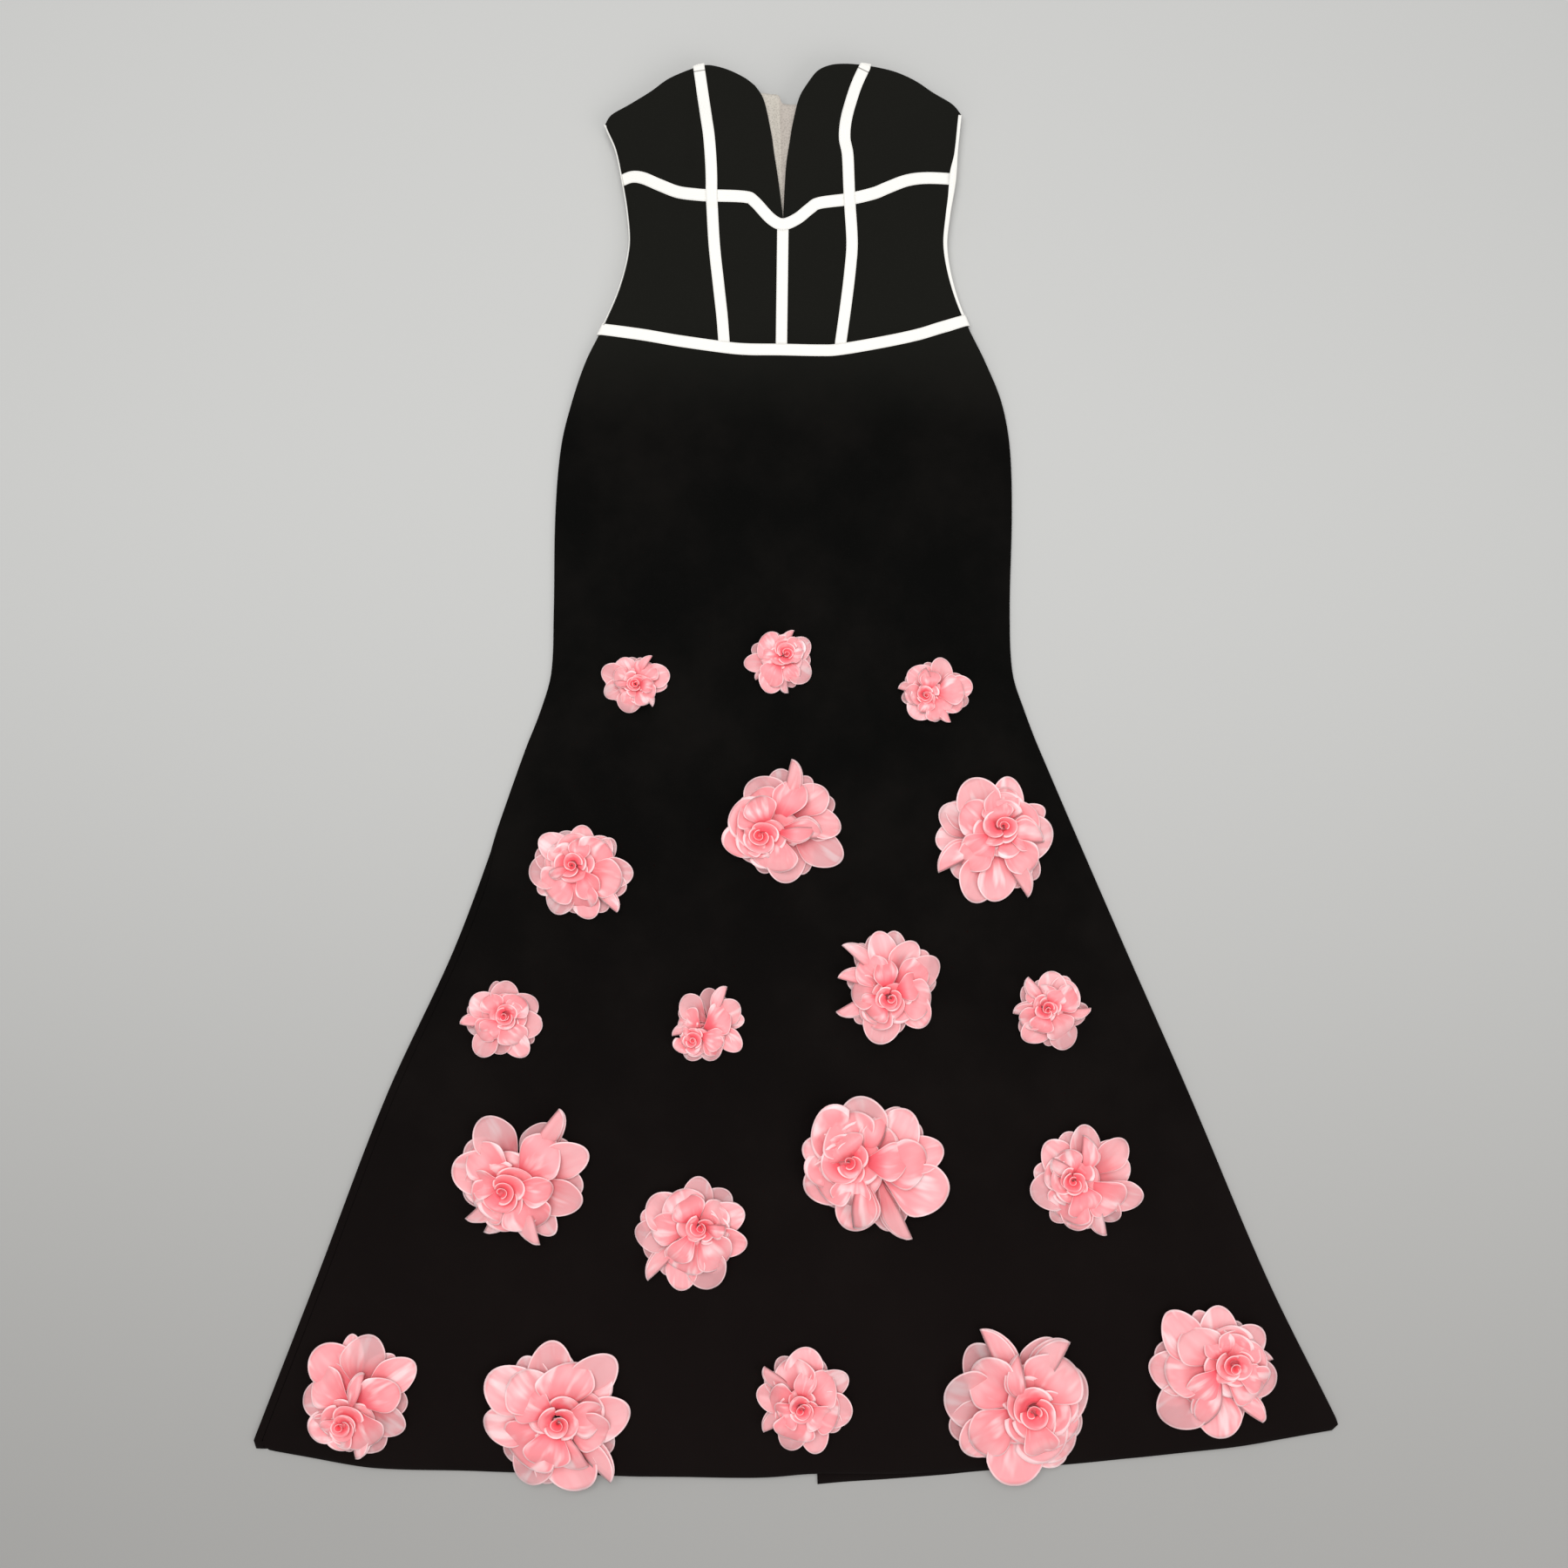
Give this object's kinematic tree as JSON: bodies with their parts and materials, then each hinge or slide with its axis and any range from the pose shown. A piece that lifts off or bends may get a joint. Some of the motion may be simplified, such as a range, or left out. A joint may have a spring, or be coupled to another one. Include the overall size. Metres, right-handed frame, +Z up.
{
  "type": "strapless dress",
  "caption": "Strapless floor-length dress of dark knit with a sweetheart notch, pale seam tapes, a flared skirt and sewn-on satin flowers, laid out flat",
  "frame": {"origin": "middle of the laid-out dress's length and width, on the surface that it lies on", "axes": "+Y from hem to neckline, +Z up off the surface out of the front, +X to the right as seen from above with the neckline at the far end"},
  "size_m": [0.9754, 1.2748, 0.0391],
  "materials": {
    "knit": "matte",
    "tape": "matte",
    "mesh": "sheer",
    "petal": "satin"
  },
  "bodies": {
    "root": {"cup_side_left": "knit", "cup_side_right": "knit", "cup_centre_left": "knit", "cup_centre_right": "knit", "midriff_side_left": "knit", "midriff_side_right": "knit", "midriff_centre_left": "knit", "midriff_centre_right": "knit", "skirt_front": "knit", "skirt_back_left": "knit", "skirt_back_right": "knit", "bodice_back_left": "knit", "bodice_back_right": "knit", "notch_mesh": "mesh", "tape_waist": "tape", "tape_underbust": "tape", "tape_centre": "tape", "tape_princess_left": "tape", "tape_princess_right": "tape", "tape_side_left": "tape", "tape_side_right": "tape", "flower_01": "petal", "flower_02": "petal", "flower_03": "petal", "flower_04": "petal", "flower_05": "petal", "flower_06": "petal", "flower_07": "petal", "flower_08": "petal", "flower_09": "petal", "flower_10": "petal", "flower_11": "petal", "flower_12": "petal", "flower_13": "petal", "flower_14": "petal", "flower_15": "petal", "flower_16": "petal", "flower_17": "petal", "flower_18": "petal", "flower_19": "petal"}
  },
  "joints": []
}
